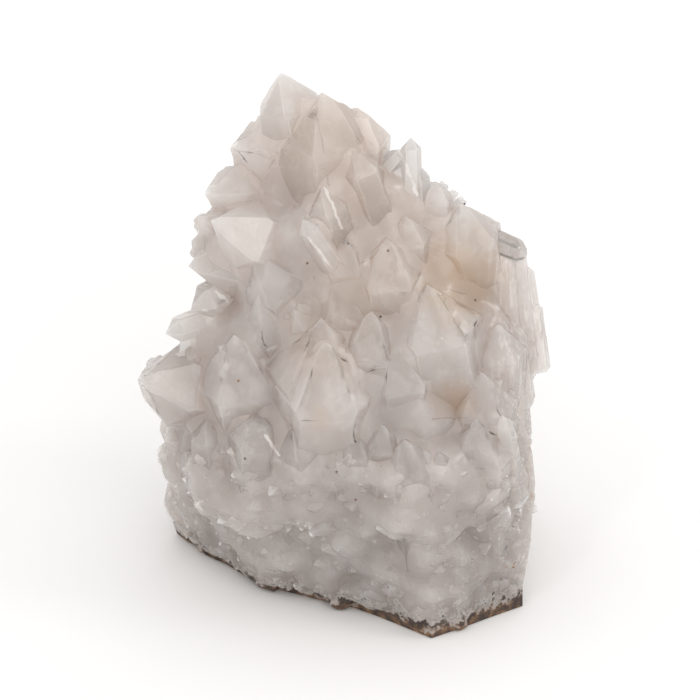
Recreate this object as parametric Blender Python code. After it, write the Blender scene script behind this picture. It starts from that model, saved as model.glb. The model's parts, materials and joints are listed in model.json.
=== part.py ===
"""A quartz crystal cluster on its cut base: one solid of massive quartz with crystals grown out of it.

The front of the cluster is set out as a drawing, seen from SIGHT above the horizon. A place on it is
(across, rise, near): across to the right and rise upwards, on the sheet, and near towards the eye, all from
the cluster's middle. Sizes are in millimetres until a mesh is written in metres.
"""

import math
import random
from collections import namedtuple

import bmesh
import bpy
from mathutils import Matrix, Vector, noise
from mathutils.bvhtree import BVHTree

MM = 0.001
SEED = 7
QUARTZ_COLOUR = (0.6, 0.54, 0.5, 1.0)
QUARTZ_ROUGHNESS = 0.25

# The drawing: its middle stands this high over the base, and the eye looks down at it by SIGHT.
SIGHT = math.radians(30)
MIDDLE = Vector((0, 0, 62))
TO_RIGHT = Vector((1, 0, 0))
TO_TOP = Vector((0, math.sin(SIGHT), math.cos(SIGHT)))
TO_EYE = Vector((0, -math.cos(SIGHT), math.sin(SIGHT)))

# Quartz has six prism faces, and six end faces whose normals stand this far from the crystal's axis.
END_ANGLE = math.radians(51.8)
SMALL_END_RAISE = 0.06  # every second end face is smaller: it stands this share of the width further out
CLEAR_OF_BASE = 0.4  # no crystal comes lower than this, so that only the flat cut carries the cluster

# A point leans to the left by heading and towards the eye by facing, in degrees. width is over the flats, and
# flat is the thickness over the width. roll turns it about its axis: at 0 its face 0 looks to the eye, and
# the faces count anticlockwise seen from the tip. Its prism widens towards the foot by taper, in degrees. The end
# face big has outgrown the others by cutting the tip back by grown, and blunt cuts the tip off square.
Point = namedtuple(
    "Point",
    "tip heading facing width length roll flat taper big grown blunt",
    defaults=(0, 1.0, 2.5, 0, 0.0, 0.0),
)

CROWN = {
    "peak": Point((-15.4, 68.0, 29), 13, 25, 14.6, 40, roll=24),
    "crown": Point((-4.8, 62.8, 35), 5, 38, 20.8, 50, roll=14, taper=12),
    "crown_front": Point((2.6, 48.8, 35), 20, 30, 9.0, 36, roll=10),
    "crown_left": Point((-5.4, 39.8, 35), 18, 36, 9.5, 30, roll=22),
    "reed": Point((-10.1, 32.0, 35), 35, 26, 5.5, 28),
    "needle": Point((16.6, 52.3, 29), 0, 14, 4.4, 30),
    "needle_left": Point((15.0, 49.4, 28), -42, 10, 3.8, 24),
    "needle_right": Point((18.9, 45.0, 27), 3, 16, 4.5, 30, roll=30),
    "saddle": Point((22.2, 42.4, 27), 5, 32, 9.0, 34, blunt=1.8),
    "saddle_front": Point((15.0, 33.0, 31), 10, 40, 11.0, 32),
}

LEFT_FAN = {
    "shoulder": Point((-27.9, 50.2, 27), 79, 44, 14.5, 34, roll=30),
    "wing": Point((-33.9, 38.8, 25), 90, 42, 13.0, 36, roll=30),
    "arm": Point((-38.0, 20.6, 22), 97, 32, 18.0, 40),
    "arm_top": Point((-39.3, 25.4, 21), 90, 30, 14.0, 38, blunt=4.0),
    "arm_front": Point((-32.6, 31.8, 29), 69, 38, 18.0, 46),
    "arm_right": Point((-22.0, 23.0, 28), 40, 45, 17.0, 36),
    "elbow": Point((-37.9, 9.8, 20), 118, 30, 8.0, 30),
    "hand": Point((-43.9, 4.0, 21), 110, 32, 5.6, 34),
    "outrigger": Point((-51.0, -7.3, 20), 82, 43, 18.8, 44),
}

FRONT = {
    "upper_slab": Point((-20.4, 14.5, 26), 25, 44, 17.0, 34),
    "left_slab": Point((-27.0, 3.8, 24), 10, 44, 22.0, 42),
    "heart": Point((-4.1, 1.8, 33), 0, 43, 24.0, 46),
    "heart_back": Point((-5.4, 7.8, 31), 0, 42, 26.0, 46),
    "middle": Point((10.4, 27.5, 33), 5, 42, 17.0, 40),
    "middle_left": Point((0.5, 27.5, 32), 0, 42, 12.0, 34),
    "middle_back": Point((-1.4, 18.0, 30), 8, 44, 16.0, 36),
    "middle_low": Point((7.0, 9.5, 30), -5, 42, 17.0, 40),
    "right_slab": Point((20.4, 16.3, 31), 12, 38, 21.0, 46),
    "right_low": Point((12.9, 1.3, 29), 10, 46, 16.0, 40),
}

RIGHT = {
    "roof": Point((28.5, 36.0, 28), 9, 41, 17.0, 44, roll=18),
    "roof_foot": Point((38.2, 6.3, 23), 0, 42, 13.0, 38),
    "right_step": Point((34.0, -5.5, 24), 0, 46, 16.0, 40),
    "side_1": Point((38.9, 29.5, 22), 6, 22, 6.0, 36),
    "side_2": Point((42.0, 27.0, 19), 5, 18, 5.5, 30, roll=20),
    "side_3": Point((43.7, 22.3, 16), 7, 22, 5.5, 19),
    "side_4": Point((46.6, 12.5, 14), 6, 24, 4.5, 19, roll=10),
    "side_5": Point((41.5, 8.0, 17), 3, 30, 8.0, 24, roll=20),
    "clear_tip": Point((44.9, 27.4, 20), -50, 10, 4.6, 14),
}

LOWER_ROW = {
    "row_1": Point((-33.9, -17.5, 17), 5, 44, 8.0, 28, roll=25),
    "row_2": Point((-21.4, -15.5, 24), 0, 44, 12.5, 34, blunt=3.0),
    "row_3": Point((-12.4, -18.3, 26), 18, 44, 11.5, 34, roll=15),
    "row_4": Point((2.9, -21.0, 27), 0, 50, 9.5, 30, blunt=1.5),
    "row_5": Point((9.9, -18.5, 27), -5, 44, 9.5, 30),
    "row_6": Point((14.9, -22.0, 28), 10, 44, 14.0, 38),
    "row_7": Point((23.4, -25.0, 27), 10, 42, 4.5, 24),
    "right_foot": Point((32.9, -17.0, 24), 0, 46, 18.0, 40),
    "blade": Point((39.1, -16.0, 23), 8, 40, 5.0, 28),
}

# Bands of small crystals, each as: how many, the compass arc and the heights that they stand in, their least
# and greatest width, how much they strive upwards, the least and greatest share of the width that they stand
# out by, and whether they also grow on the big points. The compass is anticlockwise, and -90 is the front.
BANDS = {
    "front_druse": (100, (-180, -30), (2, 42), (3.4, 6.2), 0.5, (0.45, 0.8), True),
    "front_fill": (24, (-170, -20), (50, 100), (4.5, 7.5), 1.0, (0.5, 0.8), False),
    "back_crown": (48, (62, 158), (50, 104), (7.5, 13.0), 1.5, (0.7, 1.3), False),
    "back_druse": (24, (24, 170), (24, 80), (3.5, 7.0), 0.6, (0.45, 0.8), False),
}

# The massive quartz, as level rings from the base up: each is its height and its ten corners, as (x, y).
BODY_RINGS = (
    (-6, (
        (22, -37), (3, -21), (-18, -10), (-34, 4), (-42, 14),
        (-35, 30), (-10, 37), (20, 37), (39, 27), (45, -22),
    )),
    (12, (
        (22, -36), (3, -26), (-21, -18), (-38, 0), (-43, 12),
        (-36, 30), (-10, 38), (20, 38), (41, 28), (46, -21),
    )),
    (34, (
        (22, -34), (3, -30), (-24, -25), (-42, -10), (-46, 8),
        (-36, 27), (-10, 36), (20, 36), (42, 27), (47.5, -18),
    )),
    (58, (
        (20, -31), (2, -30), (-20, -26), (-37, -14), (-40, 6),
        (-32, 22), (-10, 32), (20, 33), (41, 25), (45, -16),
    )),
    (84, (
        (14, -20), (0, -20), (-14, -16), (-26, -7), (-27, 6),
        (-20, 17), (-5, 24), (14, 25), (31, 19), (35, -9),
    )),
    (108, (
        (7, -6), (-1, -6), (-7, -4), (-12, 0), (-13, 6),
        (-9, 12), (-1, 15), (8, 14), (15, 10), (14, 0),
    )),
)

CORE_X, CORE_Y = 3, 4  # the upright line that the massive quartz stands round
FAR = 200  # well outside the cluster
CUT_MERGE = 1e-4  # corners of a cut that are closer than this are one corner

# The hollows of the broken massive quartz: how wide each kind is, and its share of the depth, which is the
# first figure in front and the second behind.
HOLLOWS = ((15.0, 1.0), (5.0, 0.5))
HOLLOW_DEPTHS = (1.2, 3.0)

# A small crystal strays from the straight way out by up to STRAY. Its length and how far its tip is cut back
# by its biggest end face are given as shares of its width.
STRAY = 0.45
SMALL_LENGTH = 3
SMALL_GROWN = 0.12


def clear_scene():
    for obj in list(bpy.data.objects):
        bpy.data.objects.remove(obj)


def place(across, rise, near):
    return MIDDLE + across * TO_RIGHT + rise * TO_TOP + near * TO_EYE


def lean(heading, facing):
    """The way that a point grows, as a unit vector."""
    heading, facing = math.radians(heading), math.radians(facing)
    on_sheet = math.cos(heading) * TO_TOP - math.sin(heading) * TO_RIGHT
    return math.cos(facing) * on_sheet + math.sin(facing) * TO_EYE


def cut(bm, point, normal):
    """Cuts off all that lies beyond the plane, and closes the cut with one flat face."""
    geometry = bm.verts[:] + bm.edges[:] + bm.faces[:]
    bmesh.ops.bisect_plane(
        bm, geom=geometry, dist=CUT_MERGE, plane_co=point, plane_no=normal, clear_outer=True
    )
    rim = [edge for edge in bm.edges if edge.is_boundary]
    if rim:
        bmesh.ops.contextual_create(bm, geom=rim)


def standing(tip, axis, roll):
    """The matrix that puts a crystal's tip at tip, along axis, with its face 0 to the eye before the roll."""
    front = (TO_EYE - TO_EYE.dot(axis) * axis).normalized()
    turned = Matrix.Rotation(math.radians(roll), 3, axis) @ front
    side = axis.cross(turned)
    return Matrix.Translation(tip) @ Matrix((turned, side, axis)).transposed().to_4x4()


def crystal(point, tip, axis):
    """A bmesh of one quartz point: a block cut by six prism faces, then by six end faces.

    The block has its middle at the tip, is four widths square and reaches down by the length.
    """
    bm = bmesh.new()
    block = Matrix.Diagonal((point.width * 2, point.width * 2, point.length, 1))
    bmesh.ops.create_cube(bm, size=2, matrix=block)
    half = point.width / 2
    shoulder = Vector((0, 0, -half * math.tan(END_ANGLE)))
    taper = math.radians(point.taper)
    for face in range(6):
        turn = face * math.pi / 3
        reach = half * (point.flat if face % 3 == 0 else 1.0)
        across = Vector((math.cos(turn), math.sin(turn), 0))
        cut(bm, across * reach + shoulder, across * math.cos(taper) + Vector((0, 0, math.sin(taper))))
    for face in range(6):
        turn = face * math.pi / 3
        raised = SMALL_END_RAISE * point.width if face % 2 else 0.0
        lowered = point.grown if face == point.big else 0.0
        across = Vector((math.cos(turn), math.sin(turn), 0))
        normal = across * math.sin(END_ANGLE) + Vector((0, 0, math.cos(END_ANGLE)))
        cut(bm, Vector((0, 0, raised - lowered)), normal)
    if point.blunt:
        cut(bm, Vector((0, 0, -point.blunt)), Vector((0, 0, 1)))
    bm.transform(standing(tip, axis, point.roll))
    cut(bm, Vector((0, 0, CLEAR_OF_BASE)), Vector((0, 0, -1)))
    return bm


def body():
    """The massive quartz: the level rings bridged, divided and roughened, and closed at both ends."""
    bm = bmesh.new()
    loops = []
    for height, corners in BODY_RINGS:
        verts = [bm.verts.new((x, y, height)) for x, y in reversed(corners)]
        loops.append([bm.edges.new((a, b)) for a, b in zip(verts, verts[1:] + verts[:1])])
    for low, high in zip(loops, loops[1:]):
        bmesh.ops.bridge_loops(bm, edges=low + high)
    bmesh.ops.subdivide_edges(bm, edges=bm.edges[:], cuts=2, use_grid_fill=True)
    rims = [edge for edge in bm.edges if edge.is_boundary]
    bmesh.ops.contextual_create(bm, geom=[edge for edge in rims if edge.verts[0].co.z < MIDDLE.z])
    bmesh.ops.contextual_create(bm, geom=[edge for edge in rims if edge.verts[0].co.z > MIDDLE.z])
    bmesh.ops.recalc_face_normals(bm, faces=bm.faces[:])
    bm.normal_update()
    for vert in bm.verts:
        hollow = sum(share * noise.noise(vert.co / width) for width, share in HOLLOWS)
        vert.co += HOLLOW_DEPTHS[vert.co.y > CORE_Y] * hollow * vert.normal
    bmesh.ops.triangulate(bm, faces=bm.faces[:])
    cut(bm, Vector((0, 0, 0)), Vector((0, 0, -1)))
    return bm


def small_points(core, big_points):
    """Yields the habit, tip and axis of each crystal in the bands, found by looking in at the cluster."""
    core_tree = BVHTree.FromBMesh(core)
    big_trees = [BVHTree.FromBMesh(bm) for bm in big_points]
    draw = random.Random(SEED)
    for count, arc, heights, widths, upwards, prouds, on_points in BANDS.values():
        for _ in range(count):
            turn = math.radians(draw.uniform(*arc))
            inwards = -Vector((math.cos(turn), math.sin(turn), 0))
            start = Vector((CORE_X, CORE_Y, draw.uniform(*heights))) - FAR * inwards
            width = draw.uniform(*widths)
            roll = draw.uniform(0, 60)
            stray = STRAY * Vector([draw.uniform(-1, 1) for _ in range(3)])
            proud = draw.uniform(*prouds)
            hits = [tree.ray_cast(start, inwards) for tree in [core_tree] + big_trees]
            hits = [(far, spot, normal) for spot, normal, _, far in hits if spot]
            if not hits:
                continue
            _, spot, normal = min(hits, key=lambda hit: hit[0])
            if hits[0][1] != spot and not on_points:
                continue
            axis = (normal + Vector((0, 0, upwards)) + stray).normalized()
            grown = width * SMALL_GROWN
            habit = Point(None, 0, 0, width, width * SMALL_LENGTH, roll, big=draw.randrange(6), grown=grown)
            yield habit, spot + axis * width * proud, axis


def write(name, bm):
    bm.transform(Matrix.Scale(MM, 4))
    mesh = bpy.data.meshes.new(name)
    bm.to_mesh(mesh)
    bm.free()
    return bpy.data.objects.new(name, mesh)


def quartz():
    material = bpy.data.materials.new("quartz")
    material.use_nodes = True
    shader = material.node_tree.nodes["Principled BSDF"]
    shader.inputs["Base Color"].default_value = QUARTZ_COLOUR
    shader.inputs["Roughness"].default_value = QUARTZ_ROUGHNESS
    shader.inputs["Metallic"].default_value = 0.0
    return material


def main():
    clear_scene()
    core = body()
    crystals = []
    for group in (CROWN, LEFT_FAN, FRONT, RIGHT, LOWER_ROW):
        for point in group.values():
            crystals.append(crystal(point, place(*point.tip), lean(point.heading, point.facing)))
    crystals += [crystal(*habit) for habit in small_points(core, list(crystals))]

    cluster = write("quartz_cluster", core)
    cluster.data.materials.append(quartz())
    bpy.context.scene.collection.objects.link(cluster)

    # The crystals are helpers: they are joined into the massive quartz and don't show by themselves.
    grown = bpy.data.collections.new("crystals")
    bpy.context.scene.collection.children.link(grown)
    for number, bm in enumerate(crystals):
        helper = write(f"crystal_{number}", bm)
        helper.hide_render = True
        helper.display_type = "WIRE"
        grown.objects.link(helper)
    union = cluster.modifiers.new("join", "BOOLEAN")
    union.operation = "UNION"
    union.operand_type = "COLLECTION"
    union.collection = grown
    union.solver = "EXACT"


main()
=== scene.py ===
import json
import math
import random

import bmesh
import bpy
from mathutils import Matrix, Vector, noise
from mathutils.bvhtree import BVHTree

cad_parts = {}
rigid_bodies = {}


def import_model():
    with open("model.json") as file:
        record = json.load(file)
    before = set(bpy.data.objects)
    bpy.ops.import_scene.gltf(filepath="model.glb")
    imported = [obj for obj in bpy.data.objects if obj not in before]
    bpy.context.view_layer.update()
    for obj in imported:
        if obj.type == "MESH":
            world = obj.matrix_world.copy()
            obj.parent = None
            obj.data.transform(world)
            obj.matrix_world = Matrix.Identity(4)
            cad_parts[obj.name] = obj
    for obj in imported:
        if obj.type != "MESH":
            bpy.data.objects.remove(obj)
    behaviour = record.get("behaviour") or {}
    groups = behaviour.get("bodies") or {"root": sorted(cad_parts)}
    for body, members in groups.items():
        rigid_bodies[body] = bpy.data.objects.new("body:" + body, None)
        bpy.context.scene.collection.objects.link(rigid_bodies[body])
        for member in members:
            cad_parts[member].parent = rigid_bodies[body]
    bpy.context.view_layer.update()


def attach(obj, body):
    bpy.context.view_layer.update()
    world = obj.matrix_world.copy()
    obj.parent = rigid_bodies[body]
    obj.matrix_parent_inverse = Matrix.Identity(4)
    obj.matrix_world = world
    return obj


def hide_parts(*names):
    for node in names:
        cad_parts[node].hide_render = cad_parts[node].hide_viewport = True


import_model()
scene = bpy.context.scene
scene.view_settings.view_transform = "Standard"

# The stand-point: the eye looks down at the cluster by 30 degrees from straight in front, through a long lens, so
# that the upright crystals stay parallel. The cluster stands on a pale matt floor in a white light tent.
SIGHT = math.radians(30)
AIM = Vector((0.0016, 0, 0.062))
EYE_DISTANCE = 1.6
FRAME_WIDTH = 0.175

camera = bpy.data.cameras.new("eye")
camera.sensor_width = 36
camera.lens = camera.sensor_width * EYE_DISTANCE / FRAME_WIDTH
eye = bpy.data.objects.new("eye", camera)
eye.location = AIM + EYE_DISTANCE * Vector((0, -math.cos(SIGHT), math.sin(SIGHT)))
eye.rotation_euler = (math.pi / 2 - SIGHT, 0, 0)
scene.collection.objects.link(eye)
scene.camera = eye

world = bpy.data.worlds.new("tent")
world.use_nodes = True
world.node_tree.nodes["Background"].inputs["Color"].default_value = (1.0, 0.985, 0.97, 1)
world.node_tree.nodes["Background"].inputs["Strength"].default_value = 1.0
scene.world = world


def softbox(name, place, size, power, tint):
    light = bpy.data.lights.new(name, "AREA")
    light.shape = "SQUARE"
    light.size = size
    light.energy = power
    light.color = tint
    lamp = bpy.data.objects.new(name, light)
    lamp.location = place
    lamp.rotation_euler = (AIM - Vector(place)).to_track_quat("-Z", "Y").to_euler()
    scene.collection.objects.link(lamp)


softbox("front", (0.45, -1.7, 1.35), 1.3, 8, (1.0, 0.98, 0.96))
softbox("right", (1.3, -0.3, 0.9), 0.4, 2.5, (1.0, 1.0, 1.0))
softbox("spark", (-0.5, -0.9, 1.4), 0.1, 1.2, (1.0, 1.0, 1.0))

bpy.ops.object.select_all(action="DESELECT")
bpy.ops.mesh.primitive_plane_add(size=12, location=(0, 0, -0.0002))
floor = bpy.context.object
floor.name = "floor"
paper = bpy.data.materials.new("floor_paper")
paper.use_nodes = True
paper.node_tree.nodes["Principled BSDF"].inputs["Base Color"].default_value = (0.93, 0.93, 0.93, 1)
paper.node_tree.nodes["Principled BSDF"].inputs["Roughness"].default_value = 0.9
floor.data.materials.append(paper)


# The massive quartz that everything grew from: one broken, lumpy block, cut off flat underneath. It is built up
# from level rings, in millimetres, from the base up, and its skin is roughened into shallow broken hollows.
MM = 0.001
SEED = 7
RINGS = (
    (-6, (
        (22, -37), (3, -21), (-18, -10), (-34, 4), (-42, 14),
        (-35, 30), (-10, 37), (20, 37), (39, 27), (45, -22))),
    (12, (
        (22, -36), (3, -26), (-21, -18), (-38, 0), (-43, 12),
        (-36, 30), (-10, 38), (20, 38), (41, 28), (46, -21))),
    (34, (
        (22, -34), (3, -30), (-24, -25), (-42, -10), (-46, 8),
        (-36, 27), (-10, 36), (20, 36), (42, 27), (47.5, -18))),
    (58, (
        (20, -31), (2, -30), (-20, -26), (-37, -14), (-40, 6),
        (-32, 22), (-10, 32), (20, 33), (41, 25), (45, -16))),
    (84, (
        (14, -20), (0, -20), (-14, -16), (-26, -7), (-27, 6),
        (-20, 17), (-5, 24), (14, 25), (31, 19), (35, -9))),
    (108, (
        (7, -6), (-1, -6), (-7, -4), (-12, 0), (-13, 6),
        (-9, 12), (-1, 15), (8, 14), (15, 10), (14, 0))),
)
CORE = Vector((3, 4, 0))
HOLLOWS = ((15.0, 1.0), (5.0, 0.5))
HOLLOW_DEPTHS = (1.2, 3.0)


def only(*chosen):
    """Selects these objects alone, and makes the last one active."""
    bpy.ops.object.select_all(action="DESELECT")
    for thing in chosen:
        thing.select_set(True)
    bpy.context.view_layer.objects.active = chosen[-1]


def bisect(point, normal):
    """Cuts off what lies beyond the plane, in edit mode, and closes the cut."""
    bpy.ops.mesh.select_all(action="SELECT")
    bpy.ops.mesh.bisect(plane_co=point, plane_no=normal, use_fill=True, clear_outer=True)


rings = []
for height, corners in RINGS:
    bpy.ops.object.select_all(action="DESELECT")
    bpy.ops.mesh.primitive_circle_add(vertices=len(corners), location=(0, 0, 0))
    ring = bpy.context.object
    for vertex, (x, y) in zip(ring.data.vertices, corners):
        vertex.co = (x, y, height)
    rings.append(ring)
only(*rings)
bpy.ops.object.join()
massive = bpy.context.object
bpy.ops.object.mode_set(mode="EDIT")
bpy.ops.mesh.select_all(action="SELECT")
bpy.ops.mesh.bridge_edge_loops()
bpy.ops.mesh.select_all(action="SELECT")
bpy.ops.mesh.subdivide(number_cuts=2)
bpy.ops.mesh.select_all(action="DESELECT")
bpy.ops.mesh.select_non_manifold()
bpy.ops.mesh.edge_face_add()
bpy.ops.mesh.select_all(action="SELECT")
bpy.ops.mesh.normals_make_consistent(inside=False)
bpy.ops.object.mode_set(mode="OBJECT")
for vertex, normal in zip(massive.data.vertices, [v.normal.copy() for v in massive.data.vertices]):
    hollow = sum(share * noise.noise(vertex.co / width) for width, share in HOLLOWS)
    vertex.co += HOLLOW_DEPTHS[vertex.co.y > CORE.y] * hollow * normal
bpy.ops.object.mode_set(mode="EDIT")
bpy.ops.mesh.select_all(action="SELECT")
bpy.ops.mesh.quads_convert_to_tris(ngon_method="BEAUTY")
bisect((0, 0, 0), (0, 0, -1))
bpy.ops.object.mode_set(mode="OBJECT")


# The quartz points: six-sided crystals that grew out of the massive quartz, each with six prism faces and six end
# faces. A point is given by its tip on the sheet that the eye sees (across, rise, near), how far it leans to the
# left and towards the eye in degrees, its width over the flats, its length, its turn, its taper and how much of its
# tip is blunt, and its nature: how clear, how warm and how light it is.
SHEET = Matrix(((1, 0, 0), (0, math.sin(SIGHT), -math.cos(SIGHT)), (0, math.cos(SIGHT), math.sin(SIGHT))))
SHEET_MIDDLE = Vector((0, 0, 62))
END_ANGLE = math.radians(51.8)
SMALL_END_RAISE = 0.06
CLEAR_OF_BASE = 0.4
POINTS = {
    # the crown
    "peak": ((-15.4, 68.0, 29), 13, 25, 14.6, 40, 24, 2.5, 0, (0.55, 0.0, 1.04)),
    "crown": ((-4.8, 62.8, 35), 5, 38, 20.8, 50, 14, 12, 0, (0.4, 1.0, 0.97)),
    "crown_front": ((2.6, 48.8, 35), 20, 30, 9.0, 36, 10, 2.5, 0, (0.4, 1.0, 0.97)),
    "crown_left": ((-5.4, 39.8, 35), 18, 36, 9.5, 30, 22, 2.5, 0, (0.4, 0.8, 0.97)),
    "reed": ((-10.1, 32.0, 35), 35, 26, 5.5, 28, 0, 2.5, 0, (0.4, 0.1, 1.05)),
    "needle": ((16.6, 52.3, 29), 0, 14, 4.4, 30, 0, 2.5, 0, (0.75, 0.0, 1.1)),
    "needle_left": ((15.0, 49.4, 28), -42, 10, 3.8, 24, 0, 2.5, 0, (0.75, 0.0, 1.1)),
    "needle_right": ((18.9, 45.0, 27), 3, 16, 4.5, 30, 30, 2.5, 0, (0.75, 0.0, 1.1)),
    "saddle": ((22.2, 42.4, 27), 5, 32, 9.0, 34, 0, 2.5, 1.8, (0.35, 0.1, 1.0)),
    "saddle_front": ((15.0, 33.0, 31), 10, 40, 11.0, 32, 0, 2.5, 0, (0.35, 0.2, 1.0)),
    # the fan on the left
    "shoulder": ((-27.9, 50.2, 27), 79, 44, 14.5, 34, 30, 2.5, 0, (0.2, -0.9, 1.03)),
    "wing": ((-33.9, 38.8, 25), 90, 42, 13.0, 36, 30, 2.5, 0, (0.2, -0.9, 1.03)),
    "arm": ((-38.0, 20.6, 22), 97, 32, 18.0, 40, 0, 2.5, 0, (0.3, 0.0, 1.0)),
    "arm_top": ((-39.3, 25.4, 21), 90, 30, 14.0, 38, 0, 2.5, 4.0, (0.5, 0.0, 1.0)),
    "arm_front": ((-32.6, 31.8, 29), 69, 38, 18.0, 46, 0, 2.5, 0, (0.25, 0.0, 1.08)),
    "arm_right": ((-22.0, 23.0, 28), 40, 45, 17.0, 36, 0, 2.5, 0, (0.25, 0.1, 1.0)),
    "elbow": ((-37.9, 9.8, 20), 118, 30, 8.0, 30, 0, 2.5, 0, (0.5, 0.0, 1.0)),
    "hand": ((-43.9, 4.0, 21), 110, 32, 5.6, 34, 0, 2.5, 0, (0.4, 0.0, 1.05)),
    "outrigger": ((-51.0, -7.3, 20), 82, 43, 18.8, 44, 0, 2.5, 0, (0.45, 0.0, 1.0)),
    # the broad front points
    "upper_slab": ((-20.4, 14.5, 26), 25, 44, 17.0, 34, 0, 2.5, 0, (0.25, 0.1, 1.0)),
    "left_slab": ((-27.0, 3.8, 24), 10, 44, 22.0, 42, 0, 2.5, 0, (0.2, 0.0, 1.0)),
    "heart": ((-4.1, 1.8, 33), 0, 43, 24.0, 46, 0, 2.5, 0, (0.2, 0.35, 1.0)),
    "heart_back": ((-5.4, 7.8, 31), 0, 42, 26.0, 46, 0, 2.5, 0, (0.25, 0.55, 1.0)),
    "middle": ((10.4, 27.5, 33), 5, 42, 17.0, 40, 0, 2.5, 0, (0.2, 0.8, 0.99)),
    "middle_left": ((0.5, 27.5, 32), 0, 42, 12.0, 34, 0, 2.5, 0, (0.2, 0.7, 0.99)),
    "middle_back": ((-1.4, 18.0, 30), 8, 44, 16.0, 36, 0, 2.5, 0, (0.2, 0.6, 1.0)),
    "middle_low": ((7.0, 9.5, 30), -5, 42, 17.0, 40, 0, 2.5, 0, (0.25, 0.1, 1.0)),
    "right_slab": ((20.4, 16.3, 31), 12, 38, 21.0, 46, 0, 2.5, 0, (0.25, 0.1, 1.0)),
    "right_low": ((12.9, 1.3, 29), 10, 46, 16.0, 40, 0, 2.5, 0, (0.25, 0.1, 1.0)),
    # the roof and the fibrous right side
    "roof": ((28.5, 36.0, 28), 9, 41, 17.0, 44, 18, 2.5, 0, (0.35, 0.4, 1.0)),
    "roof_foot": ((38.2, 6.3, 23), 0, 42, 13.0, 38, 0, 2.5, 0, (0.2, 0.2, 1.0)),
    "right_step": ((34.0, -5.5, 24), 0, 46, 16.0, 40, 0, 2.5, 0, (0.2, 0.2, 1.0)),
    "side_1": ((38.9, 29.5, 22), 6, 22, 6.0, 36, 0, 2.5, 0, (0.2, 0.0, 1.08)),
    "side_2": ((42.0, 27.0, 19), 5, 18, 5.5, 30, 20, 2.5, 0, (0.2, 0.0, 1.08)),
    "side_3": ((43.7, 22.3, 16), 7, 22, 5.5, 19, 0, 2.5, 0, (0.2, 0.0, 1.08)),
    "side_4": ((46.6, 12.5, 14), 6, 24, 4.5, 19, 10, 2.5, 0, (0.2, 0.0, 1.05)),
    "side_5": ((41.5, 8.0, 17), 3, 30, 8.0, 24, 20, 2.5, 0, (0.2, 0.0, 1.05)),
    "clear_tip": ((44.9, 27.4, 20), -50, 10, 4.6, 14, 0, 2.5, 0, (1.0, 0.0, 1.0)),
    # the low row in front
    "row_1": ((-33.9, -17.5, 17), 5, 44, 8.0, 28, 25, 2.5, 0, (0.35, 0.4, 0.92)),
    "row_2": ((-21.4, -15.5, 24), 0, 44, 12.5, 34, 0, 2.5, 3.0, (0.35, 0.3, 0.92)),
    "row_3": ((-12.4, -18.3, 26), 18, 44, 11.5, 34, 15, 2.5, 0, (0.35, 0.5, 0.9)),
    "row_4": ((2.9, -21.0, 27), 0, 50, 9.5, 30, 0, 2.5, 1.5, (0.35, 0.4, 0.92)),
    "row_5": ((9.9, -18.5, 27), -5, 44, 9.5, 30, 0, 2.5, 0, (0.35, 0.5, 0.9)),
    "row_6": ((14.9, -22.0, 28), 10, 44, 14.0, 38, 0, 2.5, 0, (0.35, 0.2, 0.95)),
    "row_7": ((23.4, -25.0, 27), 10, 42, 4.5, 24, 0, 2.5, 0, (0.4, 0.2, 0.92)),
    "right_foot": ((32.9, -17.0, 24), 0, 46, 18.0, 40, 0, 2.5, 0, (0.2, 0.1, 1.0)),
    "blade": ((39.1, -16.0, 23), 8, 40, 5.0, 28, 0, 2.5, 0, (0.2, 0.0, 1.05)),
}


def lean(heading, facing):
    heading, facing = math.radians(heading), math.radians(facing)
    flat = math.cos(facing)
    return SHEET @ Vector((-math.sin(heading) * flat, math.cos(heading) * flat, math.sin(facing)))


def front_of(axis, roll):
    """The way that face 0 of a crystal looks: to the eye, but for its turn about its axis."""
    front = SHEET.col[2] - SHEET.col[2].dot(axis) * axis
    return Matrix.Rotation(math.radians(roll), 3, axis) @ front.normalized()


def tree_of(thing):
    mesh = thing.data
    return BVHTree.FromPolygons([v.co for v in mesh.vertices], [p.vertices for p in mesh.polygons])


def grow(tip, axis, width, length, roll, taper, blunt, grown, big, edge, segments):
    """Grows one point, in millimetres, and returns it with the search tree of its sharp shape."""
    half = width / 2
    slope = math.tan(math.radians(taper))
    shoulder = half * math.tan(END_ANGLE)
    top, foot = (half + (down - shoulder) * slope for down in (0, length))
    to_corner = 2 / math.sqrt(3)
    bpy.ops.object.select_all(action="DESELECT")
    bpy.ops.mesh.primitive_cone_add(
        vertices=6, radius1=foot * to_corner, radius2=top * to_corner, depth=length, location=(0, 0, 0))
    crystal = bpy.context.object
    crystal.data.transform(Matrix.Translation((0, 0, -length / 2)))
    bpy.ops.object.mode_set(mode="EDIT")
    for face in range(6):
        turn = face * math.pi / 3
        raised = SMALL_END_RAISE * width if face % 2 else 0.0
        lowered = grown if face == big else 0.0
        across = Vector((math.cos(turn), math.sin(turn), 0))
        bisect((0, 0, raised - lowered), across * math.sin(END_ANGLE) + Vector((0, 0, math.cos(END_ANGLE))))
    if blunt:
        bisect((0, 0, -blunt), (0, 0, 1))
    bpy.ops.object.mode_set(mode="OBJECT")
    front = front_of(axis, roll)
    stand = Matrix((front, axis.cross(front), axis)).transposed().to_4x4()
    crystal.data.transform(Matrix.Translation(tip) @ stand)
    sharp = tree_of(crystal)
    bpy.ops.object.mode_set(mode="EDIT")
    bpy.ops.mesh.select_all(action="SELECT")
    bpy.ops.mesh.bevel(offset=edge, segments=segments, affect="EDGES", clamp_overlap=True)
    bisect((0, 0, CLEAR_OF_BASE), (0, 0, -1))
    bpy.ops.object.mode_set(mode="OBJECT")
    return crystal, sharp


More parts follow.
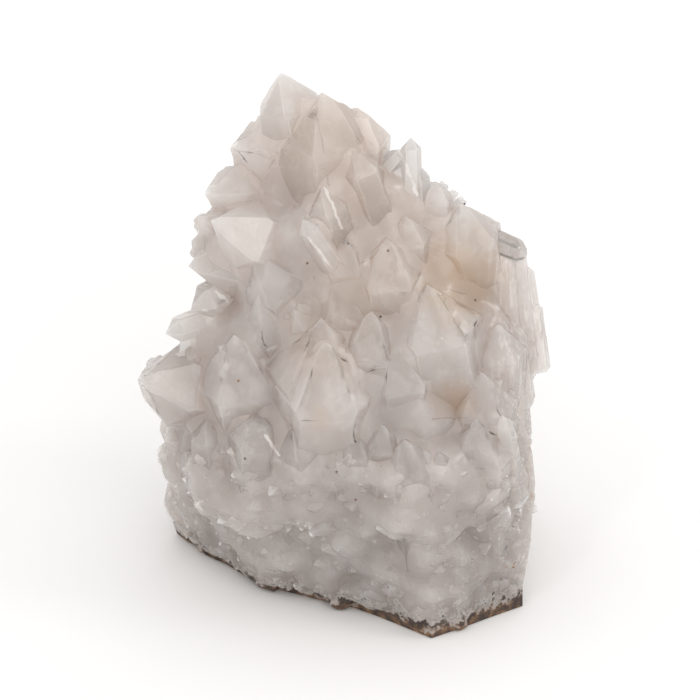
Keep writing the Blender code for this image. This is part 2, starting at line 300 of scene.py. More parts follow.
crystals = []
growths = []  # of each point: its tip, its axis, its width and the way that its face 0 looks
big_trees = []
for name, (tip, heading, facing, width, length, roll, taper, blunt, _) in POINTS.items():
    tip, axis = SHEET_MIDDLE + SHEET @ Vector(tip), lean(heading, facing)
    crystal, sharp = grow(tip, axis, width, length, roll, taper, blunt, 0.0, 0, 0.22, 2)
    crystals.append(crystal)
    growths.append((tip, axis, width, front_of(axis, roll)))
    big_trees.append(sharp)


# The smaller crystals, in bands round the block: how many, the compass arc (anticlockwise, -90 is the front) and
# the heights that they stand in, their widths, how much they strive upwards, how far they stand out and whether they
# grow on the big points too.
BANDS = (
    (100, (-180, -30), (2, 42), (3.4, 6.2), 0.5, (0.45, 0.8), True),
    (24, (-170, -20), (50, 100), (4.5, 7.5), 1.0, (0.5, 0.8), False),
    (48, (62, 158), (50, 104), (7.5, 13.0), 1.5, (0.7, 1.3), False),
    (24, (24, 170), (24, 80), (3.5, 7.0), 0.6, (0.45, 0.8), False),
)
STRAY = 0.45
FAR = 200
core_tree = tree_of(massive)
draw = random.Random(SEED)
for count, arc, heights, widths, upwards, prouds, on_points in BANDS:
    for _ in range(count):
        turn = math.radians(draw.uniform(*arc))
        inwards = -Vector((math.cos(turn), math.sin(turn), 0))
        start = CORE + Vector((0, 0, draw.uniform(*heights))) - FAR * inwards
        width = draw.uniform(*widths)
        roll = draw.uniform(0, 60)
        stray = STRAY * Vector([draw.uniform(-1, 1) for _ in range(3)])
        proud = draw.uniform(*prouds)
        hits = [tree.ray_cast(start, inwards) for tree in [core_tree] + big_trees]
        hits = [(far, spot, normal) for spot, normal, _, far in hits if spot]
        if not hits:
            continue
        _, spot, normal = min(hits, key=lambda hit: hit[0])
        if hits[0][1] != spot and not on_points:
            continue
        axis = (normal + Vector((0, 0, upwards)) + stray).normalized()
        big = draw.randrange(6)
        tip = spot + axis * width * proud
        crystal, _ = grow(tip, axis, width, width * 3, roll, 2.5, 0, width * 0.12, big, 0.12, 1)
        crystals.append(crystal)
        growths.append((tip, axis, width, front_of(axis, roll)))


# Late growths: a second ridge of the crown, the upper edge of the arm on the left, and the rough thin points that
# stand side by side on the saddle.
LATE = (  # tip, heading, facing, width, length, roll, blunt
    ((3.8, 60.1, 31), -6, 34, 15.0, 44, 14, 2.5),
    ((-37.2, 32.3, 22), 72, 35, 9.0, 30, 10, 1.0),
    ((24.4, 41.6, 26), -20, 20, 1.8, 12, 0, 0.4),
    ((25.8, 40.8, 26), -50, 20, 1.6, 12, 20, 0.3),
    ((27.0, 40.0, 25), -8, 20, 1.9, 12, 40, 0.5),
    ((28.4, 38.9, 25), -62, 20, 1.5, 12, 10, 0.3),
    ((29.3, 37.9, 25), -30, 20, 1.9, 12, 30, 0.4),
    ((30.6, 36.6, 25), -75, 20, 1.6, 12, 50, 0.3),
)
for tip, heading, facing, width, length, roll, blunt in LATE:
    tip, axis = SHEET_MIDDLE + SHEET @ Vector(tip), lean(heading, facing)
    crystal, _ = grow(tip, axis, width, length, roll, 2.5, blunt, 0.0, 0, 0.12, 1)
    crystals.append(crystal)
    growths.append((tip, axis, width, front_of(axis, roll)))


# The block and its points grew as one piece, so they are joined into one skin. Each face then remembers the point
# that it belongs to, so that its finish can follow that point.
clear_point = crystals[list(POINTS).index("clear_tip")]
family = bpy.data.collections.new("grown")
scene.collection.children.link(family)
faces, owners, corners = [], [], []
for number, crystal in enumerate([massive] + crystals):
    base = len(corners)
    corners += [v.co.copy() for v in crystal.data.vertices]
    faces += [[base + v for v in p.vertices] for p in crystal.data.polygons]
    owners += [number] * len(crystal.data.polygons)
    if crystal not in (massive, clear_point):
        for other in crystal.users_collection:
            other.objects.unlink(crystal)
        family.objects.link(crystal)
skin_tree = BVHTree.FromPolygons(corners, faces)
join = massive.modifiers.new("join", "BOOLEAN")
join.operation = "UNION"
join.operand_type = "COLLECTION"
join.collection = family
join.solver = "MANIFOLD"
only(massive)
bpy.ops.object.modifier_apply(modifier="join")
for crystal in crystals:
    bpy.data.objects.remove(crystal)
bpy.data.collections.remove(family)
cluster = massive
cluster.name = "quartz_points"
cluster.data.name = "quartz_points"
skin = cluster.data
owner = skin.attributes.new("owner", "INT", "FACE")
for number, polygon in enumerate(skin.polygons):
    owner.data[number].value = owners[skin_tree.find_nearest(polygon.center)[2]] - 1


# The mass between the crystals: quartz went on growing in their hollows, so that every crystal stands out of its
# neighbours by a little only. The foot of the front, the right side and the broken back are lumpier. The mass is a
# swollen copy of the cluster, drawn in again by a little more than it was swollen, and raised into lumps.
NAMES = list(POINTS)
FILL = 7.0  # the ball that would rest on a filled hollow
SUNK = 1.1  # how far the mass lies below the crystals at first
GRAIN = 1.3
MASS_RAISED = 0.5  # how far it is raised again between the crystals,
MIDDLE_RAISED = 0.5  # more in the middle
ROW_SUNK = 0.9  # and less at the low row
LUMPS = ((8.0, 6.0, 0.5, 0.2),)  # facets: how wide, how high, how far they lean and how much they differ in height
DRUSE_RAISED = 3.7
DRUSE_LUMPS = ((7.0, 6.0, 0.55, 0.2), (3.5, 3.0, 0.8, 0.2))
GRAINS = (5.5, 3.0)
MEAN_GRAIN = 0.45
NOTCHES = (  # deep gaps that stay open, as (across, rise) on the sheet and how far they reach
    (12, 47, 7), (22.5, 41, 5), (31, 35.5, 5), (-28, 51, 6), (-32, 34, 5), (-36, 16, 6), (-30, 12, 6), (-42, 2, 7),
    (-45, -21, 5), (17, 45, 5),
)
NOTCH_DEPTH = 4.0
MASS_BASE = 0.1
noise.seed_set(SEED)  # noise_vector would differ from run to run otherwise


def from_base(low, high, number):
    """0 at low, 1 at high, even between, and level beyond them."""
    return min(max((number - low) / (high - low), 0), 1)


def druse_share(spot, normal):
    """How much of the druse a spot of the mass carries, from 0 to 1."""
    across, rise, _ = SHEET.transposed() @ (spot - SHEET_MIDDLE)
    to_eye = normal.dot(SHEET.col[2])
    foot = from_base(20 + 5 * noise.noise(spot / 9), 31, -rise) * from_base(-0.35, -0.15, to_eye)
    right = from_base(36, 43, across) * from_base(-24, -16, -rise)
    back = from_base(-0.1, 0.25, normal.y) * from_base(30, 60, 110 - spot.z)
    return max(foot, 0.9 * right, 0.7 * back) * from_base(0.0, 4.0, spot.z)


def facets(place, slope, wander):
    """How far a skin of many small planes lies out at a place, each plane about 1 wide and leaning its own way."""
    lowest = 9.0
    for middle in noise.voronoi(place)[1]:
        leaning = noise.noise_vector(3.1 * middle)
        lowest = min(lowest, slope * leaning.dot(place - middle) + wander * noise.noise(5.3 * middle))
    return lowest


def lumpy(spot, lumps):
    return sum(high * facets(spot / wide, slope, wander) for wide, high, slope, wander in lumps)


def lift_of(spot, normal):
    """How far the mass is raised at a spot."""
    across, rise, near = SHEET.transposed() @ (spot - SHEET_MIDDLE)
    row = from_base(-9, -14, rise)
    middle = from_base(36, 26, abs(across)) * from_base(32, 22, rise)
    between = MASS_RAISED + MIDDLE_RAISED * middle * (1 - row) - ROW_SUNK * row + lumpy(spot, LUMPS)
    right = from_base(33, 41, across)
    coarse, fine = (MEAN_GRAIN - noise.voronoi(spot / size, distance_metric="MANHATTAN")[0][0] for size in GRAINS)
    druse = DRUSE_RAISED - (2.0 - 0.9 * from_base(12, 24, -rise)) * right + lumpy(spot, DRUSE_LUMPS)
    druse += (1.2 + 0.9 * right) * coarse + 0.8 * fine
    gap = max(1 - math.hypot(across - x, rise - y) / reach for x, y, reach in NOTCHES) * from_base(-10, 0, near)
    share = druse_share(spot, normal)
    return (1 - share) * between + share * druse - NOTCH_DEPTH * max(gap, 0)


def reshape(thing, kind, **settings):
    """Applies one modifier."""
    only(thing)
    change = thing.modifiers.new("change", kind)
    for name, value in settings.items():
        setattr(change, name, value)
    bpy.ops.object.modifier_apply(modifier="change")


crisp = BVHTree.FromPolygons(
    [vert.co for vert in skin.vertices], [tuple(polygon.vertices) for polygon in skin.polygons])
crisp_owners = [entry.value for entry in skin.attributes["owner"].data]
filling = cluster.copy()
filling.data = skin.copy()
scene.collection.objects.link(filling)
reshape(filling, "REMESH", mode="VOXEL", voxel_size=GRAIN)
reshape(filling, "DISPLACE", strength=FILL, mid_level=0)
reshape(filling, "REMESH", mode="VOXEL", voxel_size=GRAIN)
reshape(filling, "DISPLACE", strength=-FILL - SUNK, mid_level=0)
reshape(filling, "REMESH", mode="VOXEL", voxel_size=GRAIN)
lifts = [lift_of(vert.co, vert.normal) * vert.normal for vert in filling.data.vertices]
for vert, lift in zip(filling.data.vertices, lifts):
    vert.co += lift
reshape(filling, "REMESH", mode="VOXEL", voxel_size=GRAIN * 1.1)


# The druse: small points like the big ones, standing close together on the foot of the front, the right side and
# the broken back, and here and there between the crystals. One is cut, then set in the mass many times over, and
# mass and druse are joined to the crystals and cut off flat with them.
SEEDLING = (0.62, 0.56, 2.0)  # its half widths at the foot and the top and its length, where its width is 1
DRUSE_TRIES = 2600
DRUSE_ELSEWHERE = 0.05
DRUSE_WIDTHS = (2.2, 4.6)  # the least, and how much more at most
DRUSE_RISES, DRUSE_STRAYS, DRUSE_PROUD = 0.35, 0.4, 0.38
DRUSE_FROM = 3.5
BASE_CUT = 0.02  # all is cut off flat this far above the ground
SAME_SPOT, SAME_WAY = 0.02, 0.9  # how near a face must lie to an older one, and how alike look, to be part of it

bpy.ops.object.select_all(action="DESELECT")
bpy.ops.mesh.primitive_cone_add(
    vertices=6, radius1=SEEDLING[0], radius2=SEEDLING[1], depth=SEEDLING[2], location=(0, 0, 0))
seedling = bpy.context.object
seedling.data.transform(Matrix.Translation((0, 0, -SEEDLING[2] / 2)))
bpy.ops.object.mode_set(mode="EDIT")
for face in range(6):
    turn = face * math.pi / 3
    across = Vector((math.cos(turn), math.sin(turn), 0))
    bisect((0, 0, SMALL_END_RAISE * (face % 2)), across * math.sin(END_ANGLE) + Vector((0, 0, math.cos(END_ANGLE))))
bpy.ops.mesh.select_all(action="SELECT")
bpy.ops.mesh.remove_doubles(threshold=0.01)
bpy.ops.object.mode_set(mode="OBJECT")
seedling.users_collection[0].objects.unlink(seedling)
druse = bpy.data.collections.new("druse")
scene.collection.children.link(druse)
mass_tree = BVHTree.FromPolygons(
    [vert.co for vert in filling.data.vertices], [tuple(polygon.vertices) for polygon in filling.data.polygons])
corners, faces = [], []
for number in range(DRUSE_TRIES):
    pick = random.Random(SEED * DRUSE_TRIES + number)
    aim = Vector((pick.uniform(-52, 52), pick.uniform(-42, 42), pick.uniform(0, 130)))
    ray = Vector([pick.gauss(0, 1) for _ in range(3)]).normalized()
    spot, normal, _, _ = mass_tree.ray_cast(aim + FAR * ray, -ray)
    if spot is None or spot.z < DRUSE_FROM or pick.random() > max(druse_share(spot, normal), DRUSE_ELSEWHERE):
        continue
    width = DRUSE_WIDTHS[0] + DRUSE_WIDTHS[1] * pick.random() ** 2
    stray = DRUSE_STRAYS * Vector([pick.uniform(-1, 1) for _ in range(3)])
    way = (normal + Vector((0, 0, DRUSE_RISES)) + stray).normalized()
    side = way.cross(Vector([pick.uniform(-1, 1) for _ in range(3)])).normalized()
    stand = Matrix((side, way.cross(side), way)).transposed().to_4x4() @ Matrix.Scale(width, 4)
    stand.translation = spot + way * width * pick.uniform(0.0, DRUSE_PROUD)
    point = bpy.data.objects.new("druse_point", seedling.data)
    point.matrix_world = stand
    druse.objects.link(point)
    faces += [[len(corners) + v for v in polygon.vertices] for polygon in seedling.data.polygons]
    corners += [stand @ vert.co for vert in seedling.data.vertices]
druse_skin = BVHTree.FromPolygons(corners, faces)
faces_each = len(seedling.data.polygons)
only(filling)
bpy.ops.object.mode_set(mode="EDIT")
bpy.ops.mesh.select_all(action="SELECT")
bpy.ops.mesh.bisect(plane_co=(0, 0, MASS_BASE), plane_no=(0, 0, 1), clear_inner=True, use_fill=True)
bpy.ops.mesh.select_all(action="SELECT")
bpy.ops.mesh.quads_convert_to_tris()
bpy.ops.object.mode_set(mode="OBJECT")
reshape(cluster, "BOOLEAN", operation="UNION", solver="MANIFOLD", object=filling)
reshape(cluster, "BOOLEAN", operation="UNION", solver="MANIFOLD", operand_type="COLLECTION", collection=druse)
bpy.ops.mesh.primitive_cube_add(size=FAR, location=(0, 0, BASE_CUT - FAR / 2))
ground = bpy.context.object
reshape(cluster, "BOOLEAN", operation="DIFFERENCE", solver="MANIFOLD", object=ground)
bpy.data.objects.remove(ground)
bpy.data.objects.remove(filling)
for point in list(druse.objects) + [seedling]:
    bpy.data.objects.remove(point)
bpy.data.collections.remove(druse)
owner = skin.attributes["owner"]
for number, polygon in enumerate(skin.polygons):
    _, normal, nearest, distance = crisp.find_nearest(polygon.center)
    grown = distance < SAME_SPOT and normal.dot(polygon.normal) > SAME_WAY
    owner.data[number].value = crisp_owners[nearest] if grown else -1
    _, normal, nearest, distance = druse_skin.find_nearest(polygon.center)
    if not grown and distance < SAME_SPOT and normal.dot(polygon.normal) > SAME_WAY:
        owner.data[number].value = -2 - nearest // faces_each


# The skin as it grew: no face is quite flat. The big crystals are built of many that grew side by side, so that their
# faces are stepped and tilted in long patches. The finest points are the crispest.
EDGE_LENGTHS = (8.0, 4.5, 3.0, 2.3)  # no edge stays longer than the last
BASE_FACE = 0.2
BASE_SKIN = 0.3
SHARP = math.radians(15)
CRISP = ("peak", "needle", "needle_left", "needle_right", "reed", "hand", "arm_front")
CRISP_SHARE = 0.4
MASS_NATURE = (0.05, 0.1, 1.0)  # how clear, how warm and how light it is, as the points'
DRUSE_CLEAR, DRUSE_JITTER = 0.3, 0.07
SMALL_NATURE = (0.15, 0.0, 1.0)
PAINTED_HIGHLIGHTS = {  # painted highlights: faces made lighter where they would shine out, as the point, whether it is an end face, and which of the six it is
    ("arm_front", True, 0): 1.16,
    ("peak", True, 0): 1.08,
    ("needle", False, 0): 1.15,
    ("reed", False, 0): 1.1,
    ("reed", False, 1): 1.1,
    ("crown", False, 1): 1.12,
    ("roof", True, 5): 1.06,
    ("hand", False, 2): 1.15,
}

bm = bmesh.new()
bm.from_mesh(skin)
bmesh.ops.triangulate(bm, faces=bm.faces[:])
for longest in EDGE_LENGTHS:
    bm.edges.index_update()
    chosen = {
        edge for face in bm.faces for edge in face.edges
        if edge.calc_length() > longest and face.calc_center_median().z > BASE_FACE}
    bmesh.ops.subdivide_edges(bm, edges=sorted(chosen, key=lambda edge: edge.index), cuts=1)
    bmesh.ops.triangulate(bm, faces=[face for face in bm.faces if len(face.verts) > 3])
bm.to_mesh(skin)
bm.free()


def finish_faces(mesh, owner_of):
    """Writes each face's nature on it, with the painted highlights of a few faces in its lightness, and on its
    corners how far they lie from the tip and across the face.
    """
    habit = mesh.uv_layers.new(name="habit")
    nature_and_highlight = mesh.attributes.new("nature_and_highlight", "FLOAT_COLOR", "FACE")
    for number, polygon in enumerate(mesh.polygons):
        point = owner_of(number)
        if point < 0:
            clear, warm, light = MASS_NATURE
            if point < -1:
                chance = random.Random(point)
                clear = DRUSE_CLEAR * chance.random()
                light += chance.uniform(-DRUSE_JITTER, DRUSE_JITTER)
            nature_and_highlight.data[number].color = (clear, warm, light, 0.0)
            continue
        tip, axis, width, front = growths[point]
        clear, warm, light = POINTS[NAMES[point]][8] if point < len(NAMES) else SMALL_NATURE
        normal = polygon.normal
        sixth = math.atan2(normal.dot(axis.cross(front)), normal.dot(front)) / (math.pi / 3)
        is_end = normal.dot(axis) > 0.4
        is_edge = abs(sixth - round(sixth)) > 0.07
        chance = random.Random(point * 97 + round(sixth) % 6 + 12 * is_end)
        clear *= 1 + chance.uniform(-0.25, 0.25)
        light *= 1 + chance.uniform(-0.03, 0.03)
        if point < len(NAMES):
            # painted highlight: the listed faces are made lighter
            light *= PAINTED_HIGHLIGHTS.get((NAMES[point], is_end, round(sixth) % 6), 1.0)
        if is_edge:
            clear *= 0.6
        nature_and_highlight.data[number].color = (clear, warm, light, float(not is_end and not is_edge))
        for corner in polygon.loop_indices:
            spot = mesh.vertices[mesh.loops[corner].vertex_index].co - tip
            along = -spot.dot(axis)
            around = (spot + along * axis).dot(axis.cross(normal))
            habit.data[corner].uv = (around * MM, along * MM)


def patches(spot, point):
    """How far the skin of a crystal lies out at a spot: long flat patches that lean a little, edge to edge."""
    tip, axis, width, front = growths[point]
    from_tip = spot - tip
    size = min(max(width * 0.36, 2.6), 7.0)
    place = Vector((from_tip.dot(front), from_tip.dot(axis.cross(front)), 0.38 * from_tip.dot(axis))) / size
    place.x += 7.3 * point
    share = CRISP_SHARE if point < len(NAMES) and NAMES[point] in CRISP else 1.0
    return size * 0.5 * share * (facets(place, 0.55, 0.12) + 0.1)


owner = skin.attributes["owner"]
finish_faces(skin, lambda number: owner.data[number].value)
bm = bmesh.new()
bm.from_mesh(skin)
alike = {}  # where two faces share all their corners, they are a fold of nothing and go
for face in bm.faces:
    alike.setdefault(frozenset(face.verts), []).append(face)
folds = [face for faces in alike.values() if len(faces) > 1 for face in faces]
bmesh.ops.delete(bm, geom=folds, context="FACES")
bm.normal_update()
of_point = bm.faces.layers.int["owner"]
moves = []
for vert in bm.verts:
    points = {face[of_point] for face in vert.link_faces}
    if min(points) >= 0 and vert.co.z > BASE_SKIN:
        moves.append((vert, vert.normal * patches(vert.co, min(points))))
for vert, move in moves:
    vert.co += move
    vert.co.z = max(vert.co.z, 0.0)
for face in bm.faces:
    face.smooth = True
for edge in bm.edges:
    edge.smooth = edge.is_manifold and edge.calc_face_angle() < SHARP
bm.to_mesh(skin)
bm.free()
skin.transform(Matrix.Scale(MM, 4))


# The quartz: milky, with white clouds and veils, faintly smoky in the middle and ochre in a few places, clearer
# towards the tips, and brown with iron where it was cut off. Painted shade makes it darker towards the bottom and
# sides.
class Wire:
    """A shader value: arithmetic on it adds Math nodes, and the other methods add the nodes that they name."""

    def __init__(self, tree, socket):
        self.tree = tree
        self.socket = socket

    def node(self, kind, settings=(), out=0, **values):
        made = self.tree.nodes.new(kind)
        for key, value in dict(settings).items():
            setattr(made, key, value)
        for name, value in values.items():
            slot = made.inputs[int(name[1:])] if name[1:].isdigit() else made.inputs[name.replace("_", " ")]
            if isinstance(value, Wire):
                self.tree.links.new(value.socket, slot)
            else:
                slot.default_value = value
        return Wire(self.tree, made.outputs[out])

    def math(self, operation, a, b, clamp=False):
        return self.node("ShaderNodeMath", {"operation": operation, "use_clamp": clamp}, i0=a, i1=b)

    def __add__(self, other):
        return self.math("ADD", self, other)

    def __sub__(self, other):
        return self.math("SUBTRACT", self, other)

    def __mul__(self, other):
        return self.math("MULTIPLY", self, other)

    def __truediv__(self, other):
        return self.math("DIVIDE", self, other)

    def __rsub__(self, other):
        return self.math("SUBTRACT", other, self)

    __radd__ = __add__
    __rmul__ = __mul__

    def clamp(self):
        return self.math("ADD", self, 0.0, clamp=True)

    def step(self, low, high):
        """0 below low, 1 above high, smooth between."""
        return self.node(
            "ShaderNodeMapRange", {"interpolation_type": "SMOOTHSTEP"},
            Value=self, From_Min=low, From_Max=high, To_Min=0.0, To_Max=1.0)

    def mix(self, factor, other):
        """This colour, with other over it by factor."""
        return self.node(
            "ShaderNodeMix", {"data_type": "RGBA"}, 2, Factor=factor, i6=self, i7=other)

    def scale(self, amount):
        return self.node("ShaderNodeVectorMath", {"operation": "SCALE"}, i0=self, Scale=amount)

    def away(self, place):
        """How far this place is from another."""
        return self.node("ShaderNodeVectorMath", {"operation": "DISTANCE"}, 1, i0=self, i1=place)

    def part(self, axis):
        return self.node("ShaderNodeSeparateXYZ", (), axis, Vector=self)

    def noise(self, size, detail=3.0, roughness=0.5, stretch=(1, 1, 1)):
        """Noise with features of about this size, in the units of this place."""
        spread = self.node("ShaderNodeVectorMath", {"operation": "MULTIPLY"}, i0=self, i1=stretch)
        return self.node(
            "ShaderNodeTexNoise", (), 0,
            Vector=spread, Scale=1 / size, Detail=detail, Roughness=roughness)


def material(name):
    """A new material and a wire to start its shader from."""
    made = bpy.data.materials.new(name)
    made.use_nodes = True
    made.node_tree.nodes.clear()
    return made, Wire(made.node_tree, None)


def finish_surface(wire, shader, volume):
    made = wire.tree.nodes.new("ShaderNodeOutputMaterial")
    wire.tree.links.new(shader.socket, made.inputs["Surface"])
    wire.tree.links.new(volume.socket, made.inputs["Volume"])


def sheet_place(place):
    """The same place on the sheet: as across, rise and near, and as the spot (across, rise, 0)."""
    centred = place.node("ShaderNodeVectorMath", {"operation": "SUBTRACT"}, i0=place, i1=tuple(SHEET_MIDDLE))
    across, rise, near = (
        place.node("ShaderNodeVectorMath", {"operation": "DOT_PRODUCT"}, 1, i0=centred, i1=tuple(SHEET.col[n]))
        for n in range(3))
    return across, rise, near, place.node("ShaderNodeCombineXYZ", (), X=across, Y=rise, Z=0.0)


WARM_PARTS = (  # where the quartz is faintly smoky, as (across, rise) on the sheet and how far it reaches
    (0, 50, 20), (9, 24, 22), (-2, 5, 18),
)
STAINS = (  # ochre stains, as (across, rise) on the sheet, how far they reach, and how strong they are
    (29, 17, 15, 0.65),
    (27.5, -12.5, 9, 0.6),
    (-6, -17, 8, 0.25),
)
SPECKS = (  # painted highlights: white sparkles, as (across, rise) on the sheet
    (-25.9, -7.6), (-24.3, -26.8), (-1.7, -30.0), (32.5, 12.3), (9.1, 8.2), (-8.9, 21.3), (10.9, 24.3), (3.0, -37.0),
)
PAINTED_SPARKLES = (  # bright flakes
    (7.6, 29.2), (5.1, 13.5), (-17.1, -36.2), (0.4, -42.5), (40.4, -31.2), (36.6, -37.0), (-4.6, -15.8), (2.1, -18.2),
    (-14.6, -3.0), (-9.9, 32.0), (-44.9, -7.0), (-10.6, 12.0), (41.4, 9.0), (-36.4, 22.0), (18.1, -2.0),
)
DARK_LINES = (  # cracks, from (across, rise) to (across, rise)
    (-6.6, 57.5, -3.4, 40.0), (20.4, 15.8, 30.4, 13.8), (21.6, -16.8, 31.6, -16.8), (-9.9, 1.5, -5.0, 4.5),
    (4.0, 21.0, 9.0, 24.5),
)
BRIGHT_LINES = (  # painted highlights: edges that catch the light, painted as pale lines
    (-4.6, 39.8, -0.4, 30.0), (-43.6, 7.5, -32.0, 10.3), (-36.6, 18.3, -28.6, 12.0), (-8.4, 27.5, -1.6, 18.3),
    (12.8, 51.0, 18.2, 38.0), (-19.0, -21.0, -16.0, -26.0),
)
MILK = (0.40, 0.361, 0.342, 1)
CLOUD = (0.448, 0.412, 0.392, 1)
SMOKE = (0.405, 0.342, 0.298, 1)
COOL = (0.40, 0.40, 0.365, 1)
WISP = (0.55, 0.525, 0.51, 1)
OCHRE = (0.42, 0.315, 0.22, 1)
FOOT_BROWN = (0.27, 0.215, 0.18, 1)
VEIL_AND_GLINT_WHITE = (0.78, 0.75, 0.73, 1)
WHITE = (1, 1, 1, 1)
IRON_DARK, IRON_BROWN = (0.045, 0.03, 0.025, 1), (0.22, 0.12, 0.06, 1)
QUARTZ_IOR = 1.544


def mineral_colour(wire, place, warmth, lightness):
    """The milky quartz's colour at a place, with painted shade: darker towards the bottom and towards the left and
    right sides, and browner towards the foot.
    """
    milk = wire.node("ShaderNodeRGB")
    milk.socket.default_value = MILK
    clouds = place.noise(16.0, 4.0, 0.55)
    wisps = place.noise(5.0, 3.0, 0.6, (1.0, 1.0, 0.35))
    colour = milk.mix(clouds.step(0.35, 0.7), CLOUD)
    across, rise, near, spot = sheet_place(place)
    warm = warmth.clamp() * 0.25
    for x, y, reach in WARM_PARTS:
        warm = warm + 0.5 * (1 - spot.away((x, y, 0.0)).step(0.4 * reach, reach))
    colour = colour.mix(warm.clamp(), SMOKE)
    colour = colour.mix((0 - warmth).clamp(), COOL)
    colour = colour.mix(wisps.step(0.5, 0.75) * 0.25, WISP)
    ragged = place.noise(6.0) * 8.0
    behind = (1 - near.step(8.0, 14.0)) * 40.0
    for x, y, reach, strength in STAINS:
        from_stain = spot.away((x, y, 0.0)) + ragged + behind
        colour = colour.mix((1 - from_stain.step(reach * 0.4, reach * 1.3)) * strength, OCHRE)
    # painted shade: the quartz is made darker towards the bottom
    height = rise.step(-52.0, -8.0) * 0.26 + 0.83
    # painted shade: the quartz is made darker towards the left and right sides
    painted_side_shade = (across * across).step(200.0, 1500.0)
    # browner and darker towards the foot
    foot = 1 - (place.part(2) + place.noise(5.0, 4.0, 0.6) * 14.0).step(9.0, 21.0)
    return colour.mix(foot * 0.6, FOOT_BROWN).scale(lightness * height * (1.04 - painted_side_shade * 0.10))


def iron(wire, place):
    """The iron crust: how much of it there is at a place, and its colour."""
    across, rise, _, _ = sheet_place(place)
    grain = place.noise(3.0, 5.0, 0.65)
    rim = 1 - (place.part(2) + grain * 22.0).step(13.0, 18.0)
    right_edge = across.step(40.0, 47.0) * (1 - rise.step(-12.0, -2.0)) * grain.step(0.52, 0.62)
    crumbs = place.noise(1.6, 2.0, 0.5).step(0.62, 0.68)
    crumbs = (1 - rise.step(-52.0, -44.0)) * crumbs * across.step(20.0, 34.0)
    amount = (rim + right_edge * 0.7 + crumbs * 0.8).clamp()
    colour = wire.node("ShaderNodeRGB")
    colour.socket.default_value = IRON_DARK
    return amount, colour.mix(grain.step(0.4, 0.62), IRON_BROWN)


def dots(spot, middles, wander, low, high):
    """1 at the middles of a list, 0 from high on; spot is on the sheet."""
    total = 0.0
    for x, y in middles:
        total = total + (1 - (spot.away((x, y, 0.0)) + wander).step(low, high))
    return total


def streaks(spot, lines, width):
    """1 on the lines of a list, 0 off them; spot is on the sheet."""
    total = 0.0
    for x0, y0, x1, y1 in lines:
        run = (x1 - x0, y1 - y0, 0.0)
        from_start = spot.node("ShaderNodeVectorMath", {"operation": "SUBTRACT"}, i0=spot, i1=(x0, y0, 0.0))
        share = spot.node("ShaderNodeVectorMath", {"operation": "DOT_PRODUCT"}, 1, i0=from_start, i1=run)
        share = (share / (run[0] ** 2 + run[1] ** 2)).clamp()
        nearest = spot.node("ShaderNodeVectorMath", {"operation": "SCALE"}, i0=run, Scale=share)
        total = total + (1 - from_start.away(nearest).step(0.4 * width, width))
    return total.clamp()


quartz, wire = material("quartz")
place = wire.node("ShaderNodeTexCoord", (), 3).scale(1 / MM)
grown_as = wire.node("ShaderNodeAttribute", {"attribute_name": "nature_and_highlight"}, 0)
clarity, warmth, lightness = (grown_as.part(n) for n in range(3))
is_prism = wire.node("ShaderNodeAttribute", {"attribute_name": "nature_and_highlight"}, 3)
run = wire.node("ShaderNodeUVMap", {"uv_map": "habit"}, 0).scale(1 / MM)
clouds = place.noise(16.0, 4.0, 0.55)
colour = mineral_colour(wire, place, warmth, lightness)
iron_amount, iron_colour = iron(wire, place)

lines = wire.node(
    "ShaderNodeTexWave", {"wave_type": "BANDS", "bands_direction": "Y"}, 1,
    Vector=run, Scale=0.9, Distortion=2.5, Detail=2.0, Detail_Scale=0.6)
hillocks = place.noise(2.2, 3.0, 0.5)
relief = lines * is_prism * 0.35 + hillocks * 0.5 + iron_amount * place.noise(1.2, 4.0, 0.7) * 3.0
bump = wire.node("ShaderNodeBump", (), 0, Strength=0.35, Distance=0.0003, Height=relief)
rough = 0.12 + clouds * 0.25 + iron_amount * 0.5

milky = wire.node(
    "ShaderNodeBsdfPrincipled", {"subsurface_method": "RANDOM_WALK"}, 0,
    Base_Color=colour, Roughness=rough, IOR=QUARTZ_IOR, Normal=bump,
    Subsurface_Weight=1.0, Subsurface_Radius=(1.0, 0.9, 0.85), Subsurface_Scale=0.05)
clear = wire.node(
    "ShaderNodeBsdfPrincipled", (), 0,
    Base_Color=WHITE, Roughness=0.04, IOR=QUARTZ_IOR, Transmission_Weight=1.0, Normal=bump)
see_through = (clarity * (0.5 + clouds) * 0.4).clamp()
shader = wire.node("ShaderNodeMixShader", (), 0, Fac=see_through, i1=milky, i2=clear)

# Thin white veils, dark specks and short cracks lie in the skin, and the iron crust lies over all.
# Painted highlights lie in it too: pale lines on a few edges and white sparkles.
across, rise, near, spot = sheet_place(place)
in_front = near.step(10.0, 14.0)
on_right = across.step(34.0, 40.0) * rise.step(-25.0, -5.0)
fibres = place.noise(1.3, 3.0, 0.6, (1.0, 1.0, 0.1)).step(0.45, 0.7) * on_right
mottle = place.noise(4.5, 5.0, 0.7).step(0.5, 0.8) * 0.3
flecks = place.noise(0.9, 2.0, 0.6).step(0.66, 0.72) * place.noise(12.0).step(0.45, 0.6)
wobble = place.node("ShaderNodeTexNoise", (), 1, Vector=place, Scale=0.35, Detail=3.0)
drawn = wire.node("ShaderNodeVectorMath", {"operation": "ADD"}, i0=spot, i1=wobble.scale(2.0))
drawn = wire.node("ShaderNodeVectorMath", {"operation": "MULTIPLY_ADD"}, i0=drawn, i1=(1, 1, 0), i2=(-1.0, -1.0, 0.0))
broken = place.noise(7.0).step(0.36, 0.5) * in_front
crack = streaks(drawn, DARK_LINES, 0.34) * broken
# painted highlight: pale lines along a few edges, mixed in with the white veils
glint = streaks(drawn, BRIGHT_LINES, 0.5) * broken
veil_and_painted_glint = (fibres * 0.6 + mottle + flecks * 0.12 + glint * 0.9).clamp()
speck = (dots(spot, SPECKS, 0.0, 0.2, 0.45) * in_front + crack * 0.3).clamp()
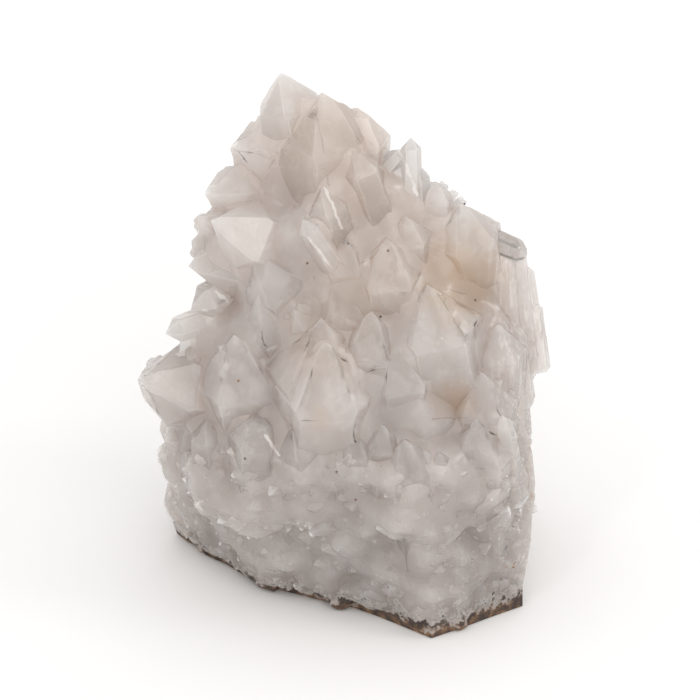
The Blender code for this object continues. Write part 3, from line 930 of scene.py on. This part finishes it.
# painted highlights: white sparkles at the listed spots, ragged at their rims
sparkle_ragged = place.noise(0.9, 3.0, 0.6, (1.0, 1.0, 0.3)) * 2.0
painted_sparkle = (dots(spot, PAINTED_SPARKLES, sparkle_ragged, 0.8, 1.1) * near.step(6.0, 10.0)).clamp()
skin_colour = wire.node("ShaderNodeRGB")
skin_colour.socket.default_value = VEIL_AND_GLINT_WHITE
skin_colour = skin_colour.mix(painted_sparkle, WHITE).mix((iron_amount + speck * 3.0).clamp(), iron_colour)
crust_and_painted_highlights = wire.node(
    "ShaderNodeBsdfPrincipled", (), 0, Base_Color=skin_colour, Roughness=rough, IOR=QUARTZ_IOR, Normal=bump)
covered = (veil_and_painted_glint * 0.6 + iron_amount + speck * 0.9 + painted_sparkle).clamp()
shader = wire.node("ShaderNodeMixShader", (), 0, Fac=covered, i1=shader, i2=crust_and_painted_highlights)
tint = wire.node("ShaderNodeVolumeAbsorption", (), 0, Color=(0.88, 0.82, 0.77, 1), Density=60.0)
finish_surface(wire, shader, tint)
skin.materials.clear()
skin.materials.append(quartz)

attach(cluster, "root")
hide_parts("quartz_cluster")


# The clear tip: a small water-clear point that stands out of the right shoulder, with fine greyish edges.
CLEAR_WIDTH, CLEAR_LENGTH, CLEAR_ROLL, CLEAR_BLUNT, CLEAR_EDGE = 5.6, 11.0, 15, 1.2, 0.5
clear_axis = lean(-112, 8)
clear_spot = SHEET_MIDDLE + SHEET @ Vector((46.2, 23.0, 22))
clear_tip, _ = grow(
    clear_spot, clear_axis, CLEAR_WIDTH, CLEAR_LENGTH, CLEAR_ROLL, 2.5, CLEAR_BLUNT, 0.0, 0, CLEAR_EDGE, 1)
clear_tip.name = "clear_tip"
clear_tip.data.name = "clear_tip"
growths.append((clear_spot, clear_axis, CLEAR_WIDTH, front_of(clear_axis, CLEAR_ROLL)))
finish_faces(clear_tip.data, lambda number: len(growths) - 1)
clear_tip.data.transform(Matrix.Scale(MM, 4))

glassy, wire = material("clear_tip")
place = wire.node("ShaderNodeTexCoord", (), 3).scale(1 / MM)
grown_as = wire.node("ShaderNodeAttribute", {"attribute_name": "nature_and_highlight"}, 0)
clear = wire.node(
    "ShaderNodeBsdfPrincipled", (), 0,
    Base_Color=WHITE, Roughness=0.02, IOR=QUARTZ_IOR, Transmission_Weight=1.0)
colour = wire.node("ShaderNodeRGB")
colour.socket.default_value = (0.20, 0.19, 0.18, 1)
edge = wire.node(
    "ShaderNodeBsdfPrincipled", (), 0, Base_Color=colour.mix(place.noise(2.0), (0.36, 0.34, 0.32, 1)), Roughness=0.3)
is_edge = 1 - grown_as.part(0).step(0.095, 0.1)  # its edges are the faces of least clarity
shader = wire.node("ShaderNodeMixShader", (), 0, Fac=is_edge, i1=clear, i2=edge)
tint = wire.node("ShaderNodeVolumeAbsorption", (), 0, Color=(0.9, 0.9, 0.88, 1), Density=10.0)
finish_surface(wire, shader, tint)
clear_tip.data.materials.append(glassy)

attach(clear_tip, "root")
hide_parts("quartz_cluster")
